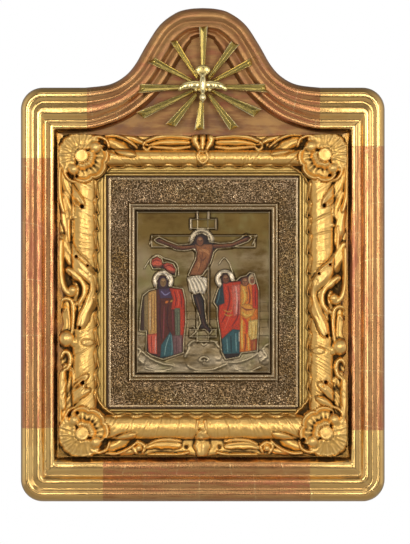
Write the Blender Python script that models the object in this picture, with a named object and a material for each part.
"""Icon panel: a painted panel under a chased metal cover, in a carved frame and a reeded, crested frame.

The panel hangs on a wall. Its back lies in the plane Y = 0, its front faces -Y, X runs to the right
and Z up. The origin is the hanging point on the flat back of the crest, on the centre line.
"""

import math

import bmesh
import bpy
import numpy as np
from mathutils import Vector

MM = 0.001

# One unit of the drawing grid that the carving and the picture are laid out on.
GRID = 1.354 * MM
CLEARANCE = 0.3 * MM

# Outer frame, seen from the front.
FRAME_WIDTH = 495.0 * MM
SHOULDER_HEIGHT = 563.0 * MM
CORNER_RADIUS = 30.0 * MM
CREST_RISE = 108.3 * MM
CREST_HALF_WIDTH = 160.0 * MM
SIDE_RAIL = 57.5 * MM
BOTTOM_RAIL = 67.7 * MM
TOP_RAIL = 69.7 * MM
HANGING_HEIGHT = 530.0 * MM

# Heights of the outer frame's front above the wall.
EDGE_DEPTH = 34.0 * MM
REED_DEPTHS = (58.0 * MM, 55.5 * MM, 51.0 * MM)
GROOVE_DEPTHS = (49.5 * MM, 46.5 * MM)
FOOT_DEPTH = 42.0 * MM
LEDGE_DEPTH = 40.0 * MM

# Carved frame: how far it laps over the outer frame, the widths of its rails, and its heights.
FLANGE = 6.4 * MM
CARVED_SIDE = 56.4 * MM
CARVED_TOP = 48.1 * MM
CARVED_BOTTOM = 61.2 * MM
BACK_INSET = 3.0 * MM
LIP_UNDERSIDE = 40.8 * MM
LIP_TOP = 46.5 * MM
TORUS_TOP = 62.0 * MM
CARVED_EDGE = 45.0 * MM
HOLLOW_DEPTH = 50.0 * MM
LIP_OVERLAP = 10.0 * MM
LIP_WAVE = 4.2 * MM
LIP_WAVE_LENGTH = 27.0 * MM

# Slip, board and metal cover.
SLIP_SIDE = 18.9 * MM
SLIP_TOP = 18.9 * MM
SLIP_BOTTOM = 13.4 * MM
SLIP_DEPTH = 40.5 * MM
SLIP_BEVEL = 2.0 * MM
BOARD_DEPTH = 34.0 * MM
COVER_MARGIN = 1.4 * MM
COVER_SHIFT = 0.8 * MM
BORDER_SIDE = 36.6 * MM
BORDER_TOP = 44.7 * MM
BORDER_BOTTOM = 45.5 * MM
BORDER_THICKNESS = 3.0 * MM
EDGE_BEAD = 1.4 * MM
RIM_WIDTH = 7.4 * MM
RIM_HEIGHT = 3.6 * MM
PLATE_THICKNESS = 2.2 * MM

# Rays and dove.
RAY_UNDERSIDE = 56.2 * MM
RAY_THICKNESS = 6.0 * MM
RAY_GROOVE = 4.4 * MM
RAY_START = 12.5 * MM
RAY_ROOT = 2.3 * MM
RAY_NOTCH = 6.0 * MM
DOVE_TOP = 74.0 * MM

# Triangles left in the two reliefs after they are thinned out.
CARVED_TRIANGLES = 4200
PLATE_TRIANGLES = 1000

# The shoulders' height on the drawing grid.
GRID_SHOULDERS = 87.0

# Half of the crest's outline, as shares of its half width and of its rise, from the top to the neck.
CREST_CURVE = (
    (0.0, 1.0), (0.115, 0.988), (0.229, 0.938), (0.364, 0.788), (0.478, 0.538),
    (0.576, 0.288), (0.669, 0.138), (0.80, 0.038), (1.0, 0.0),
)

# The moulding's section: distance in from the edge in grid units on the side and bottom rails, on
# the top rail and at the top of the crest, and the height that belongs to it.
SECTION = (
    (0.0, 0.0, 0.0, EDGE_DEPTH),
    (1.2, 1.3, 1.2, 0.55 * EDGE_DEPTH + 0.45 * REED_DEPTHS[0]),
    (3.6, 4.0, 3.8, REED_DEPTHS[0] - 3.6 * MM),
    (7.0, 8.0, 8.0, REED_DEPTHS[0]),
    (10.6, 12.2, 12.0, REED_DEPTHS[0] - 3.0 * MM),
    (13.5, 15.5, 15.2, GROOVE_DEPTHS[0]),
    (15.4, 18.3, 16.4, REED_DEPTHS[1] - 2.2 * MM),
    (19.5, 24.0, 18.5, REED_DEPTHS[1]),
    (23.8, 30.4, 20.6, REED_DEPTHS[1] - 2.8 * MM),
    (26.5, 34.0, 21.8, GROOVE_DEPTHS[1]),
    (28.4, 36.4, 22.8, REED_DEPTHS[2] - 1.6 * MM),
    (32.0, 40.0, 24.4, REED_DEPTHS[2]),
    (35.2, 43.4, 26.4, REED_DEPTHS[2] - 3.0 * MM),
    (36.9, 45.0, 28.6, FOOT_DEPTH),
)

# The rays' two tips each, in grid units from the rays' centre, across and up, clockwise from the top.
RAY_CENTRE_DOWN = 87.5
RAY_TIPS = (
    ((-3.6, 59.7), (5.0, 61.0)),
    ((28.2, 45.5), (37.0, 42.0)),
    ((48.0, 29.0), (50.0, 21.5)),
    ((62.0, 3.0), (65.0, -6.0)),
    ((59.0, -22.5), (50.5, -30.5)),
    ((36.0, -40.0), (26.5, -43.6)),
    ((1.8, -42.6), (-8.6, -43.6)),
    ((-26.6, -40.0), (-37.6, -37.6)),
    ((-58.0, -32.0), (-66.6, -25.4)),
    ((-64.0, -6.6), (-62.6, 3.0)),
    ((-54.6, 23.6), (-48.0, 29.4)),
    ((-33.6, 46.0), (-25.8, 46.4)),
)

# Carving, in grid units. A corner is laid out once, from its button, towards the picture across and
# up or down, and so is the middle of a side rail, from its outer edge inwards and down the rail.
CORNERS = ((82.0, 156.0, 1, 1), (324.5, 155.0, -1, 1), (82.5, 433.0, 1, -1), (326.0, 432.5, -1, -1))
BUTTON_RADIUS = 6.4
CORNER_BOWLS = ((13.5, 14.5, 9.6), (2.5, 20.5, 8.2), (22.5, 2.0, 7.4))
CORNER_PETALS = (
    (-12.5, -11.0, 9.4), (3.0, -14.5, 8.8), (-16.0, 2.5, 7.0), (-5.0, -17.0, 6.5), (14.0, -12.0, 6.0),
)
CORNER_BALLS = ((-7.0, 13.5, 5.6), (14.0, -6.5, 5.4))
CORNER_RIDGES = (
    (((-1, 9), (-8, 5.5), (-15, 9), (-16, 17), (-11, 23), (-3, 25)), 2.0),
    (((24, -13), (16, -16), (8, -12), (7, -4)), 2.0),
    (((-21, 10), (-22, 26), (-20.5, 42), (-16, 56)), 2.8),
)
CORNER_LEAVES = (
    (((-18, 16), (-15, 30), (-8, 42), (1, 52)), 6.5), (((26, -13), (36, -9), (46, -3), (56, 2)), 6.0),
    (((36, -18), (46, -17), (55, -14), (64, -10)), 4.5),
)
SIDE_MIDDLES = ((58.0, 291.0, 1), (348.5, 299.0, -1))
SIDE_BALLS = ((14.5, 0.0, 6.0), (8.5, 46.0, 5.2), (9.0, 66.0, 4.8))
SIDE_RIDGES = (
    (((13, -17), (22, -12), (27, 0), (24, 9), (17, 13)), 2.6),
    (((4.5, -52), (3.5, -30), (5, -10), (9, 3), (15, 8)), 3.0),
    (((4, 13), (9, 9), (15, 21), (16, 36), (11, 42), (7, 32), (5, 18)), 2.0),
    (((11, -68), (10, -57), (12, -46)), 1.8), (((6, 58), (8, 76), (4, 90), (3.5, 106)), 3.0),
)
SIDE_LEAVES = (
    (((8, -42), (19, -33), (31, -24), (40, -10)), 6.6), (((35, -6), (34, 8), (27, 22), (21, 34)), 6.2),
    (((5, -88), (7, -78), (10, -68), (9, -56)), 4.6),
)
LOZENGE = (30.0, 52.0, 8.0, 4.0)

# The middles of the top and bottom rails, laid out across and down the panel.
RAIL_BALLS = (
    (199.5, 143.0, 5.2), (206.5, 143.0, 5.2), (139.0, 448.0, 4.8), (268.0, 448.0, 4.8),
    (147.0, 141.0, 3.6), (259.5, 141.0, 3.6),
)
RAIL_LEAVES = (
    (((150, 445), (160, 443), (170, 444), (180, 447)), 5.0),
    (((256, 445), (246, 443), (236, 444), (226, 447)), 5.0),
    (((202, 434), (202, 442), (202, 450), (202, 458)), 8.5),
)
RAIL_RIDGES = (
    (((132, 449), (138, 444), (146, 447), (150, 455)), 2.0),
    (((274, 449), (268, 444), (260, 447), (256, 455)), 2.0),
    (((154, 138), (163, 135), (173, 138), (190, 139)), 2.6),
    (((252, 138), (243, 135), (233, 138), (216, 139)), 2.6),
    (((153, 147), (165, 148), (178, 147), (191, 147)), 1.8),
    (((253, 147), (241, 148), (228, 147), (215, 147)), 1.8),
    (((200, 152), (198, 158), (203, 163), (208, 158), (206, 152)), 1.8),
    (((198, 421), (197, 430), (201, 436), (205, 430), (204, 421)), 1.8),
)
LEAF_RISE = 5.2 * MM
PETAL_RISE = 9.0 * MM
BOWL_RISE = 12.0 * MM
BUTTON_RISE = 16.5 * MM

# Picture, in grid units: openings of the metal plate over the painting, and the raised parts.
OPENINGS = {
    "crucified_figure": (
        (155, 240), (160, 237.5), (168, 241.5), (178, 246), (190, 244), (194, 240), (196, 235),
        (202, 233.5), (207, 236), (209, 242), (220, 243.5), (232, 243), (240, 239.5), (246, 235),
        (251, 238.5), (249, 242), (241, 245), (232, 248), (216, 248.5), (213, 252), (210.5, 261),
        (206, 269), (202, 274.5), (189, 275), (192, 268), (196, 260), (197, 252), (194, 248),
        (184, 250.5), (176, 250.5), (166, 246), (157, 243),
    ),
    "legs": (
        (193, 295), (200, 292.5), (204, 300), (204.5, 312), (206, 322), (211.5, 330),
        (209.5, 333), (205, 328), (198.5, 329), (201.5, 323), (199, 313), (195, 303),
    ),
    "scarfed_heads": (
        (150.5, 263), (152.5, 258.5), (157, 256.5), (161, 259), (162.5, 263.5), (167, 262.5),
        (172.5, 264), (175.5, 269), (174.5, 275.5), (169, 272.5), (164, 268.5), (158, 267.5),
        (153, 268),
    ),
    "left_group": (
        (157.5, 280), (160, 275.5), (165, 275.5), (168, 280), (168.5, 286), (174, 288),
        (182, 289), (184.5, 300), (185, 322), (183, 338), (182.5, 352), (172, 355.5),
        (163, 358.5), (152, 355), (146.5, 351), (147, 330), (140, 330), (141, 310), (143, 296),
        (149, 291), (156.5, 289),
    ),
    "right_group": (
        (220.5, 277), (223, 273), (228, 273), (231.5, 281), (237, 281), (241, 277.5), (247, 276),
        (250, 273), (254, 274), (256, 281), (258.5, 290), (258.5, 320), (257, 350), (241, 352),
        (239, 356), (226, 358.5), (222.5, 352), (221, 334), (218.5, 320), (218, 307),
        (214.5, 302), (218.5, 290), (222, 284),
    ),
}
CROSS_BARS = (
    ((203.0, 228.5), (6.8, 18.5)), ((203.5, 223.5), (14.0, 5.2)), ((203.5, 241.5), (54.0, 6.6)),
    ((203.0, 295.0), (6.6, 46.0)), ((203.0, 334.0), (16.0, 4.6)),
)
BAR_HEIGHT = 1.3 * MM
HALOS = ((202.0, 240.0, 13.0), (162.5, 280.0, 11.0), (224.5, 278.5, 10.4))
HALO_HEIGHT = 1.7 * MM
RELIEFS = (
    ((197.0, 284.5), (12.0, 9.5), 2.8 * MM), ((203.0, 358.0), (20.0, 17.0), 2.0 * MM),
    ((204.0, 361.5), (7.0, 5.0), 3.2 * MM), ((148.0, 354.0), (15.0, 8.0), 2.2 * MM),
    ((262.0, 354.0), (12.0, 9.0), 2.2 * MM), ((176.0, 362.0), (14.0, 6.0), 1.6 * MM),
    ((232.0, 364.0), (16.0, 6.0), 1.8 * MM),
)

FRAME_FOOT = -HANGING_HEIGHT
HALF_WIDTH = FRAME_WIDTH / 2
SHOULDERS = FRAME_FOOT + SHOULDER_HEIGHT


class Area:
    """An upright rectangle, by its four sides."""

    def __init__(self, left, right, bottom, top):
        self.left = left
        self.right = right
        self.bottom = bottom
        self.top = top

    def grown(self, side, bottom, top):
        """Return the area with its sides moved out, or in where a value is negative."""
        return Area(self.left - side, self.right + side, self.bottom - bottom, self.top + top)

    def corners(self):
        """Return the corners from the lower left on, against the clock as seen from the front."""
        return (
            (self.left, self.bottom), (self.right, self.bottom),
            (self.right, self.top), (self.left, self.top),
        )


OPENING = Area(
    -HALF_WIDTH + SIDE_RAIL, HALF_WIDTH - SIDE_RAIL, FRAME_FOOT + BOTTOM_RAIL, SHOULDERS - TOP_RAIL
)
CARVED_OUTER = OPENING.grown(FLANGE, FLANGE, FLANGE)
CARVED_BODY = OPENING.grown(-CLEARANCE, -CLEARANCE, -CLEARANCE)
CARVED_LIP = CARVED_OUTER.grown(-CARVED_SIDE, -CARVED_BOTTOM, -CARVED_TOP)
REBATE = CARVED_LIP.grown(LIP_OVERLAP, LIP_OVERLAP, LIP_OVERLAP)
SLIP_OUTER = REBATE.grown(-CLEARANCE, -CLEARANCE, -CLEARANCE)
SLIP_INNER = SLIP_OUTER.grown(-SLIP_SIDE, -SLIP_BOTTOM, -SLIP_TOP)
BOARD = SLIP_INNER.grown(-CLEARANCE, -CLEARANCE, -CLEARANCE)
COVER = BOARD.grown(-COVER_MARGIN, -COVER_MARGIN, -COVER_MARGIN)
COVER = Area(COVER.left + COVER_SHIFT, COVER.right + COVER_SHIFT, COVER.bottom, COVER.top)
WINDOW = COVER.grown(-BORDER_SIDE, -BORDER_BOTTOM, -BORDER_TOP)
PLATE = WINDOW.grown(-CLEARANCE, -CLEARANCE, -CLEARANCE)

# The same rectangles on the drawing grid: left, right, top and bottom.
GRID_CARVED = (57.7, 347.8, 133.4, 457.2)
GRID_PLATE = (135.2, 271.6, 210.2, 373.6)


def empty_scene():
    """Remove everything that stands in the scene."""
    for item in list(bpy.data.objects):
        bpy.data.objects.remove(item, do_unlink=True)


def finish_material(name, colour, roughness, metallic):
    """Make a plain material with the piece's colour and finish."""
    material = bpy.data.materials.new(name)
    material.use_nodes = True
    shader = material.node_tree.nodes["Principled BSDF"]
    shader.inputs["Base Color"].default_value = (*colour, 1.0)
    shader.inputs["Roughness"].default_value = roughness
    shader.inputs["Metallic"].default_value = metallic
    return material


def add_piece(name, mesh, material):
    """Put a mesh into the scene under a name, with its material."""
    piece = bpy.data.objects.new(name, mesh)
    bpy.context.collection.objects.link(piece)
    mesh.materials.clear()
    mesh.materials.append(material)
    return piece


def mesh_from(bm, name):
    """Close a bmesh into a mesh whose faces look outwards."""
    bmesh.ops.recalc_face_normals(bm, faces=bm.faces)
    mesh = bpy.data.meshes.new(name)
    bm.to_mesh(mesh)
    bm.free()
    return mesh


def cutters_collection():
    """Return the collection that holds shapes used for cutting and joining."""
    cutters = bpy.data.collections.get("cutters")
    if cutters is None:
        cutters = bpy.data.collections.new("cutters")
        bpy.context.scene.collection.children.link(cutters)
    return cutters


def hide_tool(tool):
    """Move a shape that only cuts or joins out of the visible model."""
    for home in list(tool.users_collection):
        home.objects.unlink(tool)
    cutters_collection().objects.link(tool)
    tool.hide_render = True
    tool.display_type = "WIRE"


def combine(piece, tool, operation):
    """Cut a piece with a tool, or join the tool to it."""
    hide_tool(tool)
    change = piece.modifiers.new(tool.name, "BOOLEAN")
    change.operation = operation
    change.solver = "EXACT"
    change.object = tool


def baked(piece):
    """Apply a piece's modifiers and return the piece."""
    depsgraph = bpy.context.evaluated_depsgraph_get()
    mesh = bpy.data.meshes.new_from_object(piece.evaluated_get(depsgraph))
    piece.modifiers.clear()
    piece.data = mesh
    return piece


def loft_rings(rings, name):
    """Join closed rings of places, the last one back to the first, into one closed skin."""
    bm = bmesh.new()
    rows = [[bm.verts.new(place) for place in ring] for ring in rings]
    count = len(rows[0])
    for number, row in enumerate(rows):
        following = rows[(number + 1) % len(rows)]
        for step in range(count):
            ahead = (step + 1) % count
            bm.faces.new((row[step], row[ahead], following[ahead], following[step]))
    return mesh_from(bm, name)


def smooth_curve(points, steps):
    """Run a smooth curve through the points, with the same number of steps on each stretch."""
    ends = [points[0], *points, points[-1]]
    curve = []
    for stretch in range(len(points) - 1):
        a, b, c, d = (np.array(ends[stretch + k], dtype=float) for k in range(4))
        for step in range(steps):
            t = step / steps
            place = 0.5 * (
                2 * b + (c - a) * t + (2 * a - 5 * b + 4 * c - d) * t * t
                + (3 * b - a - 3 * c + d) * t ** 3
            )
            curve.append(tuple(place))
    curve.append(tuple(np.array(points[-1], dtype=float)))
    return curve


def crest_outline():
    """Return the crest's outline from the right neck over the top to the left neck, with normals."""
    half = smooth_curve([(-x, z) for x, z in CREST_CURVE], 3)
    half[0] = (0.0, 1.0)
    right = [(-x * CREST_HALF_WIDTH, SHOULDERS + z * CREST_RISE) for x, z in reversed(half)]
    left = [(-x, z) for x, z in reversed(right[:-1])]
    line = right + left
    normals = []
    for number, place in enumerate(line):
        before = Vector(line[max(number - 1, 0)])
        after = Vector(line[min(number + 1, len(line) - 1)])
        along = (after - before).normalized()
        normals.append((along.y * -1.0, along.x))
    normals[0] = normals[-1] = (0.0, -1.0)
    shares = [1.0 - abs(place[0]) / CREST_HALF_WIDTH for place in line]
    return line, normals, shares


def crest_inset(top, rail, apex, share):
    """Blend a moulding line's inset on the crest from the neck over the flank to the top."""
    if share < 0.35:
        return top + (rail - top) * share / 0.35
    if share < 0.62:
        return rail
    return rail + (apex - rail) * (share - 0.62) / 0.38


def moulding_ring(rail, top, apex, depth):
    """Return one moulding line around the whole outer frame at its height above the wall."""
    steps = 6
    side = rail * GRID
    above = top * GRID
    left = -HALF_WIDTH + side
    right = HALF_WIDTH - side
    bottom = FRAME_FOOT + side
    upper = SHOULDERS - above
    radius = max(CORNER_RADIUS - side, 0.5 * MM)
    upper_radius = max(CORNER_RADIUS - above, 0.5 * MM)

    def turn(x, z, size, first):
        return [
            (x + size * math.cos(math.radians(first + 90 * step / steps)),
             z + size * math.sin(math.radians(first + 90 * step / steps)))
            for step in range(steps + 1)
        ]

    places = turn(left + radius, bottom + radius, radius, 180)
    places += turn(right - radius, bottom + radius, radius, 270)
    places += turn(right - upper_radius, upper - upper_radius, upper_radius, 0)
    line, normals, shares = crest_outline()
    for place, normal, share in zip(line, normals, shares):
        inset = crest_inset(top, rail, apex, share) * GRID
        places.append((place[0] + normal[0] * inset, place[1] + normal[1] * inset))
    places += turn(left + upper_radius, upper - upper_radius, upper_radius, 90)
    return [(x, -depth, z) for x, z in places]


def opening_ring(area, depth):
    """Return a rectangle with the same number of places as a moulding line."""
    steps = 6
    radius = 0.4 * MM
    outline = moulding_ring(0.0, 0.0, 0.0, 0.0)
    corner = steps + 1
    places = []
    spots = (
        (area.left + radius, area.bottom + radius, 180), (area.right - radius, area.bottom + radius, 270),
        (area.right - radius, area.top - radius, 0),
    )
    for x, z, first in spots:
        for step in range(corner):
            angle = math.radians(first + 90 * step / steps)
            places.append((x + radius * math.cos(angle), -depth, z + radius * math.sin(angle)))
    crest = outline[3 * corner:-corner]
    reach = (area.right - area.left) / 2 - 4 * MM
    for place in crest:
        places.append((place[0] / CREST_HALF_WIDTH * reach, -depth, area.top))
    for step in range(corner):
        angle = math.radians(90 + 90 * step / steps)
        places.append((
            area.left + radius + radius * math.cos(angle), -depth,
            area.top - radius + radius * math.sin(angle),
        ))
    return places


def build_outer_frame():
    """Build the reeded frame with its crest, its field and its opening."""
    rings = [moulding_ring(0.0, 0.0, 0.0, 0.0)]
    rings += [moulding_ring(*line) for line in SECTION]
    ledge = CARVED_OUTER.grown(0.8 * MM, 0.8 * MM, 0.8 * MM)
    rings.append(opening_ring(ledge, LEDGE_DEPTH))
    rings.append(opening_ring(OPENING, LEDGE_DEPTH))
    rings.append(opening_ring(OPENING, 0.0))
    material = finish_material("worn_red_gold", (0.42, 0.22, 0.08), 0.34, 0.85)
    add_piece("outer_frame", loft_rings(rings, "outer_frame"), material)


def picture_place(area, grid, across, down):
    """Turn a place on the drawing grid into a place on an area of the panel."""
    left, right, top, bottom = grid
    x = area.left + (across - left) / (right - left) * (area.right - area.left)
    z = area.top - (down - top) / (bottom - top) * (area.top - area.bottom)
    return x, z


def grid_place(area, grid, x, z):
    """Turn a place on the panel into a place on the drawing grid."""
    left, right, top, bottom = grid
    across = left + (x - area.left) / (area.right - area.left) * (right - left)
    down = top + (area.top - z) / (area.top - area.bottom) * (bottom - top)
    return across, down


def line_distance(points, across, down):
    """Return each place's distance to a line of points and its share of the way along it."""
    line = np.array(smooth_curve(points, 4), dtype=float)
    best = np.full(across.shape, 1e9)
    share = np.zeros(across.shape)
    count = len(line) - 1
    for number in range(count):
        start = line[number]
        step = line[number + 1] - start
        length = max(float(step @ step), 1e-9)
        t = np.clip(((across - start[0]) * step[0] + (down - start[1]) * step[1]) / length, 0, 1)
        gap = np.hypot(across - start[0] - t * step[0], down - start[1] - t * step[1])
        nearer = gap < best
        best = np.where(nearer, gap, best)
        share = np.where(nearer, (number + t) / count, share)
    return best, share


def laid_out(items, frame):
    """Carry a pattern's items from the corner or rail where they are laid out to the panel's grid."""
    x, y, turn_x, turn_y = frame
    placed = []
    for item in items:
        if isinstance(item[0], tuple):
            line = tuple((x + turn_x * a, y + turn_y * b) for a, b in item[0])
            placed.append((line, item[1]))
        else:
            placed.append((x + turn_x * item[0], y + turn_y * item[1], *item[2:]))
    return placed


def dome(across, down, x, y, radius):
    """Return a round body's height at each place, as a share of its rise, and nothing outside it."""
    gap = np.hypot(across - x, down - y)
    return np.sqrt(np.clip(1 - (gap / radius) ** 2, 0, 1))


def raise_leaves(height, ground, leaves, across, down):
    """Lay leaves over the ground."""
    for points, width in leaves:
        gap, share = line_distance(points, across, down)
        reach = width * np.sqrt(np.clip(np.sin(np.pi * (0.12 + 0.88 * share)), 0.02, 1))
        body = np.clip(1 - (gap / reach) ** 2, 0, 1)
        height = np.maximum(height, ground + body ** 0.6 * LEAF_RISE)
    return height


def raise_ridges(height, ground, ridges, across, down):
    """Lay round scroll ridges over the ground."""
    for points, width in ridges:
        gap, _ = line_distance(points, across, down)
        body = np.sqrt(np.clip(1 - (gap / width) ** 2, 0, 1))
        level = np.minimum(ground, HOLLOW_DEPTH + 5.0 * MM)
        height = np.maximum(height, np.where(gap < width, level + body * width * GRID * 1.25, 0))
    return height


def raise_balls(height, balls, across, down):
    """Set the round ends of scrolls on the hollow."""
    for x, y, radius in balls:
        body = dome(across, down, x, y, radius)
        height = np.maximum(height, np.where(body > 0, HOLLOW_DEPTH + 5.5 * MM + body * 5 * MM, 0))
    return height


def raise_corner(height, frame, across, down):
    """Build one corner flower: petals, cupped bowls, scroll ends and the button."""
    x, y, _, _ = frame
    for px, py, radius in laid_out(CORNER_PETALS, frame):
        body = dome(across, down, px, py, radius)
        height = np.maximum(height, np.where(body > 0, HOLLOW_DEPTH + body * PETAL_RISE, 0))
    for px, py, radius in laid_out(CORNER_BOWLS, frame):
        gap = np.hypot(across - px, down - py) / radius
        rim = np.sqrt(np.clip(1 - ((gap - 0.76) / 0.24) ** 2, 0, 1))
        floor = np.where(gap < 0.76, 0.5 * BOWL_RISE, 0)
        cup = np.where(gap < 1, np.maximum(floor, BOWL_RISE * (0.6 + 0.4 * rim)), 0)
        height = np.where(gap < 1, np.where(gap < 0.76, HOLLOW_DEPTH + cup, np.maximum(
            height, HOLLOW_DEPTH + cup)), height)
    height = raise_balls(height, laid_out(CORNER_BALLS, frame), across, down)
    body = dome(across, down, x, y, BUTTON_RADIUS)
    return np.where(body > 0, HOLLOW_DEPTH + BUTTON_RISE * (0.62 + 0.38 * body), height)


def carved_relief(across, down, ground):
    """Return the carving's height at each place of the grid over the frame's plain ground."""
    height = ground.copy()
    for x, y, turn in SIDE_MIDDLES:
        frame = (x, y, turn, 1)
        height = raise_leaves(height, ground, laid_out(SIDE_LEAVES, frame), across, down)
        height = raise_ridges(height, ground, laid_out(SIDE_RIDGES, frame), across, down)
        height = raise_balls(height, laid_out(SIDE_BALLS, frame), across, down)
        a, b, half_across, half_down = LOZENGE
        body = 1 - ((across - x - turn * a) / half_across) ** 2 - ((down - y - b) / half_down) ** 2
        height = height + 2.2 * MM * np.sqrt(np.clip(body, 0, 1))
    height = raise_leaves(height, ground, RAIL_LEAVES, across, down)
    height = raise_ridges(height, ground, RAIL_RIDGES, across, down)
    height = raise_balls(height, RAIL_BALLS, across, down)
    for frame in CORNERS:
        height = raise_leaves(height, ground, laid_out(CORNER_LEAVES, frame), across, down)
        height = raise_ridges(height, ground, laid_out(CORNER_RIDGES, frame), across, down)
        height = raise_corner(height, frame, across, down)
    return height


def lip_wave(place, length, upright):
    """Return how far the lip draws back, as a share of its wave, at a place along a rail."""
    turn = place / LIP_WAVE_LENGTH % 1.0
    rise = 0.5 - 0.5 * math.cos(2 * math.pi * turn)
    if upright:
        rise = turn / 0.8 if turn < 0.8 else (1 - turn) / 0.2
    return 1 - rise * min(1.0, min(place, length - place) / (40 * MM))


def carved_ground(distance, width, zone):
    """Return the plain section of the carved frame at a distance in from its outer edge."""
    torus = (width - 2.5 * MM - zone) / 2
    middle = zone + torus
    hollow = CARVED_EDGE + (HOLLOW_DEPTH - CARVED_EDGE) * np.clip(distance / (5 * MM), 0, 1) ** 0.5
    lift = np.sqrt(np.clip(1 - ((distance - middle) / torus) ** 2, 0, 1))
    base = np.where(distance < middle, HOLLOW_DEPTH, LIP_TOP)
    swell = base + (TORUS_TOP - base) * lift
    inside = np.abs(distance - middle) < torus
    return np.where(inside, np.maximum(swell, base), np.where(distance < middle, hollow, LIP_TOP))


def build_carved_frame():
    """Build the carved frame: relief in front, flange, body and rebate behind."""
    across_steps = 36
    stations = []
    outer = CARVED_OUTER.corners()
    inner = CARVED_LIP.corners()
    body = CARVED_BODY.corners()
    rebate = REBATE.corners()
    widths = (CARVED_BOTTOM, CARVED_SIDE, CARVED_TOP, CARVED_SIDE)
    zones = (0.42, 0.36, 0.48, 0.36)
    for side in range(4):
        after = (side + 1) % 4
        length = math.dist(outer[side], outer[after])
        count = int(length / (2.6 * MM))
        for step in range(count):
            t = step / count
            ends = [
                np.array(ring[side]) * (1 - t) + np.array(ring[after]) * t
                for ring in (outer, inner, body, rebate)
            ]
            stations.append((side, t, length, ends))
    columns = []
    for side, t, length, (start, end, body_place, rebate_place) in stations:
        away = (end - start) / np.linalg.norm(end - start)
        lip = end - away * LIP_WAVE * lip_wave(t * length, length, side in (1, 3))
        shares = np.linspace(0, 1, across_steps)
        places = start[None, :] * (1 - shares[:, None]) + lip[None, :] * shares[:, None]
        near = min(t, 1 - t) * 2
        zone_share = zones[side] * min(1, near * 3) + 0.4 * (1 - min(1, near * 3))
        ground = carved_ground(shares * widths[side], widths[side], zone_share * widths[side])
        columns.append((places, ground, body_place, rebate_place, start, lip))
    places = np.array([column[0] for column in columns])
    ground = np.array([column[1] for column in columns])
    across, down = grid_place(CARVED_OUTER, GRID_CARVED, places[..., 0], places[..., 1])
    height = carved_relief(across, down, ground)
    height[:, 0] = CARVED_EDGE
    height[:, -1] = LIP_TOP
    rings = []
    for step in range(across_steps):
        rings.append([
            (places[k, step, 0], -height[k, step], places[k, step, 1]) for k in range(len(columns))
        ])
    rings.append([(c[5][0], -LIP_UNDERSIDE, c[5][1]) for c in columns])
    rings.append([(c[3][0], -LIP_UNDERSIDE, c[3][1]) for c in columns])
    rings.append([(c[3][0], -BACK_INSET, c[3][1]) for c in columns])
    rings.append([(c[2][0], -BACK_INSET, c[2][1]) for c in columns])
    rings.append([(c[2][0], -LEDGE_DEPTH - CLEARANCE, c[2][1]) for c in columns])
    rings.append([(c[4][0], -LEDGE_DEPTH - CLEARANCE, c[4][1]) for c in columns])
    material = finish_material("carved_gold", (0.52, 0.31, 0.12), 0.32, 0.9)
    piece = add_piece("carved_frame", loft_rings(rings, "carved_frame"), material)
    thin_out(piece, CARVED_TRIANGLES)


def thin_out(piece, triangles):
    """Reduce a relief to about the wanted number of triangles, keeping its shapes."""
    present = sum(len(face.vertices) - 2 for face in piece.data.polygons)
    change = piece.modifiers.new("thin_out", "DECIMATE")
    change.ratio = min(1.0, triangles / present)
    return baked(piece)


def rectangle_ring(area, depth):
    """Return a rectangle's corners at a height above the wall."""
    return [(x, -depth, z) for x, z in area.corners()]


def build_sight_slip():
    """Build the plain fillet that lines the carved frame and holds the board."""
    bevel = SLIP_INNER.grown(SLIP_BEVEL, SLIP_BEVEL, SLIP_BEVEL)
    rings = [
        rectangle_ring(SLIP_OUTER, BACK_INSET), rectangle_ring(SLIP_OUTER, SLIP_DEPTH),
        rectangle_ring(bevel, SLIP_DEPTH), rectangle_ring(SLIP_INNER, SLIP_DEPTH - SLIP_BEVEL),
        rectangle_ring(SLIP_INNER, BACK_INSET),
    ]
    material = finish_material("greenish_gold", (0.33, 0.25, 0.09), 0.4, 0.85)
    add_piece("sight_slip", loft_rings(rings, "sight_slip"), material)


def build_painted_board():
    """Build the wooden panel under the metal cover."""
    bpy.ops.mesh.primitive_cube_add(size=1.0)
    board = bpy.context.active_object
    board.name = "painted_board"
    board.scale = (BOARD.right - BOARD.left, BOARD_DEPTH - BACK_INSET, BOARD.top - BOARD.bottom)
    board.location = (
        (BOARD.left + BOARD.right) / 2, -(BOARD_DEPTH + BACK_INSET) / 2, (BOARD.top + BOARD.bottom) / 2,
    )
    board.data.materials.append(finish_material("panel_paint", (0.17, 0.08, 0.05), 0.5, 0.0))


def build_cover_border():
    """Build the chased border with its edge bead and its raised inner rim."""
    base = BOARD_DEPTH + CLEARANCE
    face = base + BORDER_THICKNESS

    def inside(amount):
        return COVER.grown(-amount, -amount, -amount)

    def outside(amount):
        return WINDOW.grown(amount, amount, amount)

    rings = [
        rectangle_ring(COVER, base), rectangle_ring(COVER, face),
        rectangle_ring(inside(EDGE_BEAD), face + EDGE_BEAD), rectangle_ring(inside(2 * EDGE_BEAD), face),
        rectangle_ring(outside(RIM_WIDTH), face),
        rectangle_ring(outside(0.86 * RIM_WIDTH), face + 0.7 * RIM_HEIGHT),
        rectangle_ring(outside(0.62 * RIM_WIDTH), face + RIM_HEIGHT),
        rectangle_ring(outside(0.40 * RIM_WIDTH), face + 0.5 * RIM_HEIGHT),
        rectangle_ring(outside(0.22 * RIM_WIDTH), face + 0.75 * RIM_HEIGHT),
        rectangle_ring(outside(0.0), face + 0.1 * RIM_HEIGHT),
        rectangle_ring(WINDOW, base),
    ]
    material = finish_material("chased_metal", (0.25, 0.2, 0.14), 0.42, 0.95)
    add_piece("cover_border", loft_rings(rings, "cover_border"), material)


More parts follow.
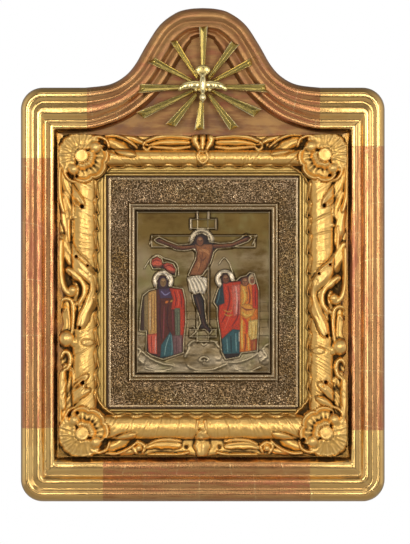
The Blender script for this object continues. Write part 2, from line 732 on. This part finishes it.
def plate_relief(across, down):
    """Return the height of the embossed parts over the flat of the middle plate."""
    height = np.zeros(across.shape)
    for (x, y), (half_across, half_down) in CROSS_BARS:
        edge = np.minimum(half_across - np.abs(across - x), half_down - np.abs(down - y))
        height = np.maximum(height, BAR_HEIGHT * np.clip(edge / 1.2, 0, 1))
    for x, y, radius in HALOS:
        gap = np.hypot(across - x, down - y)
        height = np.maximum(height, HALO_HEIGHT * np.clip((radius - gap) / 1.5, 0, 1))
    for (x, y), (half_across, half_down), rise in RELIEFS:
        body = np.clip(1 - ((across - x) / half_across) ** 2 - ((down - y) / half_down) ** 2, 0, 1)
        height = np.maximum(height, rise * np.sqrt(body))
    return height


def build_relief_plate():
    """Build the embossed middle plate and cut it open over the painted figures."""
    base = BOARD_DEPTH + CLEARANCE
    face = base + PLATE_THICKNESS
    steps_across = 76
    steps_up = 90
    x = np.linspace(PLATE.left, PLATE.right, steps_across + 1)
    z = np.linspace(PLATE.bottom, PLATE.top, steps_up + 1)
    places_x, places_z = np.meshgrid(x, z)
    across, down = grid_place(PLATE, GRID_PLATE, places_x, places_z)
    edge = np.minimum.reduce([
        places_x - PLATE.left, PLATE.right - places_x, places_z - PLATE.bottom, PLATE.top - places_z,
    ])
    height = face + plate_relief(across, down) * np.clip(edge / (3 * MM), 0, 1)
    bm = bmesh.new()
    front = [[
        bm.verts.new((places_x[j, i], -height[j, i], places_z[j, i])) for i in range(steps_across + 1)
    ] for j in range(steps_up + 1)]
    for j in range(steps_up):
        for i in range(steps_across):
            bm.faces.new((front[j][i], front[j][i + 1], front[j + 1][i + 1], front[j + 1][i]))
    rim = [edge for edge in bm.edges if edge.is_boundary]
    sides = bmesh.ops.extrude_edge_only(bm, edges=rim)["geom"]
    behind = [item for item in sides if isinstance(item, bmesh.types.BMVert)]
    for vertex in behind:
        vertex.co.y = -base
    bmesh.ops.contextual_create(bm, geom=[e for e in bm.edges if e.is_boundary])
    material = finish_material("embossed_metal", (0.3, 0.24, 0.11), 0.36, 0.95)
    piece = add_piece("relief_plate", mesh_from(bm, "relief_plate"), material)
    thin_out(piece, PLATE_TRIANGLES)
    for name, outline in OPENINGS.items():
        combine(piece, outline_prism(name, outline, base, face), "DIFFERENCE")
    baked(piece)


def outline_prism(name, outline, low, high):
    """Make a closed prism from an outline on the drawing grid, through the middle plate."""
    curve = bpy.data.curves.new(name, "CURVE")
    curve.dimensions = "2D"
    curve.fill_mode = "BOTH"
    curve.extrude = (high - low) / 2 + 8 * MM
    spline = curve.splines.new("POLY")
    spline.points.add(len(outline) - 1)
    for point, (across, down) in zip(spline.points, outline):
        x, z = picture_place(PLATE, GRID_PLATE, across, down)
        point.co = (x, z, 0.0, 1.0)
    spline.use_cyclic_u = True
    shape = bpy.data.objects.new(name + "_shape", curve)
    bpy.context.collection.objects.link(shape)
    shape.rotation_euler = (math.radians(90), 0, 0)
    shape.location = (0.0, -(low + high) / 2, 0.0)
    bpy.context.view_layer.update()
    depsgraph = bpy.context.evaluated_depsgraph_get()
    mesh = bpy.data.meshes.new_from_object(shape.evaluated_get(depsgraph))
    bm = bmesh.new()
    bm.from_mesh(mesh)
    bmesh.ops.remove_doubles(bm, verts=bm.verts, dist=0.01 * MM)
    bmesh.ops.transform(bm, matrix=shape.matrix_world, verts=bm.verts)
    prism = bpy.data.objects.new(name + "_opening", mesh_from(bm, name))
    bpy.context.collection.objects.link(prism)
    bpy.data.objects.remove(shape, do_unlink=True)
    return prism


def ray_centre():
    """Return where the rays meet, as a place across and up."""
    return 0.0, SHOULDERS - (RAY_CENTRE_DOWN - GRID_SHOULDERS) * GRID


def build_ray(number, tips, material):
    """Build one ray: a strip that widens outwards, with two rims, a groove and a notched end."""
    centre = Vector(ray_centre())
    ends = [centre + Vector(tip) * GRID for tip in tips]
    middle = (ends[0] + ends[1]) / 2
    along = (middle - centre).normalized()
    beside = Vector((-along.y, along.x))
    if (ends[0] - ends[1]).dot(beside) < 0:
        beside = -beside
    root = centre + along * RAY_START
    top = RAY_UNDERSIDE + RAY_THICKNESS
    shares = (1.0, 1.0, 0.62, 0.0, -0.62, -1.0, -1.0)
    depths = (
        RAY_UNDERSIDE, top - 1.2 * MM, top, top - RAY_GROOVE, top, top - 1.2 * MM, RAY_UNDERSIDE,
    )
    start = []
    finish = []
    for share, depth in zip(shares, depths):
        place = root + beside * share * RAY_ROOT
        start.append((place.x, -depth, place.y))
        place = middle + (ends[0] - middle) * max(share, 0) + (ends[1] - middle) * max(-share, 0)
        place -= along * RAY_NOTCH * (1 - abs(share)) ** 2
        finish.append((place.x, -depth, place.y))
    bm = bmesh.new()
    rows = [[bm.verts.new(place) for place in row] for row in (start, finish)]
    count = len(shares)
    for step in range(count):
        ahead = (step + 1) % count
        bm.faces.new((rows[0][step], rows[0][ahead], rows[1][ahead], rows[1][step]))
    for row in rows:
        for cap in ((0, 1, 2), (0, 2, 3), (0, 3, 6), (6, 3, 4), (6, 4, 5)):
            bm.faces.new([row[corner] for corner in cap])
    bmesh.ops.triangulate(bm, faces=bm.faces)
    add_piece(f"ray_{number:02d}", mesh_from(bm, "ray"), material)


def blob(name, across, up, depth, sizes, turn=0.0):
    """Make a rounded body at a place over the rays' centre, turned in the panel's plane."""
    centre_x, centre_z = ray_centre()
    bpy.ops.mesh.primitive_uv_sphere_add(segments=9, ring_count=5, radius=1.0)
    body = bpy.context.active_object
    body.name = name
    body.scale = [size * GRID for size in sizes]
    body.rotation_euler = (0.0, math.radians(turn), 0.0)
    body.location = (centre_x + across * GRID, -depth, centre_z + up * GRID)
    return body


def tail_fan(depth, thickness):
    """Make the dove's tail: a flattened cone that opens upwards."""
    centre_x, centre_z = ray_centre()
    bpy.ops.mesh.primitive_cone_add(
        vertices=14, radius1=1.8 * GRID, radius2=7.4 * GRID, depth=11.0 * GRID
    )
    fan = bpy.context.active_object
    fan.name = "tail"
    fan.scale.y = thickness / 7.4
    fan.location = (centre_x, -depth, centre_z + 14.8 * GRID)
    return fan


def build_dove():
    """Build the descending dove: body, head, fanned tail and two arched wings on a low block."""
    centre_x, centre_z = ray_centre()
    bpy.ops.mesh.primitive_cylinder_add(vertices=16, radius=8.6 * MM, depth=1.0)
    dove = bpy.context.active_object
    dove.name = "dove"
    low = FOOT_DEPTH + 0.4 * MM
    high = RAY_UNDERSIDE + RAY_THICKNESS + 4 * MM
    dove.scale = (1.0, 1.0, high - low)
    dove.rotation_euler = (math.radians(90), 0.0, 0.0)
    dove.location = (centre_x, -(low + high) / 2, centre_z)
    dove.data.materials.append(finish_material("dove_gold", (0.5, 0.4, 0.14), 0.26, 0.95))
    level = RAY_UNDERSIDE + RAY_THICKNESS + 1.0 * MM
    body_middle = (level + DOVE_TOP) / 2
    thick = (DOVE_TOP - level) / 2 / GRID
    parts = [
        blob("body", 0.0, 2.0, body_middle, (4.6, thick, 13.0)),
        blob("head", 0.0, -11.4, body_middle, (3.8, thick * 0.8, 4.6)),
        tail_fan(body_middle - 1 * MM, thick * 0.62),
    ]
    for side in (-1, 1):
        parts += [
            blob("wing_root", side * 7.6, 2.6, body_middle - 1 * MM, (6.6, thick * 0.75, 3.2)),
            blob("wing_bend", side * 14.6, 2.4, body_middle - 1 * MM, (6.6, thick * 0.7, 3.0), side * 12),
            blob("wing_tip", side * 21.6, -1.0, body_middle - 1.4 * MM, (4.6, thick * 0.55, 2.5), side * 42),
            blob("boss", side * 6.6, -3.6, level + 2 * MM, (2.5, 1.9, 2.2)),
        ]
    for number, part in enumerate(parts):
        part.rotation_euler.x = math.radians(2.0 + 1.3 * number)
        combine(dove, part, "UNION")
    bpy.context.view_layer.update()
    baked(dove)


def build():
    """Build every piece of the panel."""
    empty_scene()
    build_outer_frame()
    build_carved_frame()
    build_sight_slip()
    build_painted_board()
    build_cover_border()
    build_relief_plate()
    ray_gold = finish_material("bright_gold", (0.48, 0.4, 0.13), 0.24, 0.95)
    for number, tips in enumerate(RAY_TIPS, start=1):
        build_ray(number, tips, ray_gold)
    build_dove()


build()
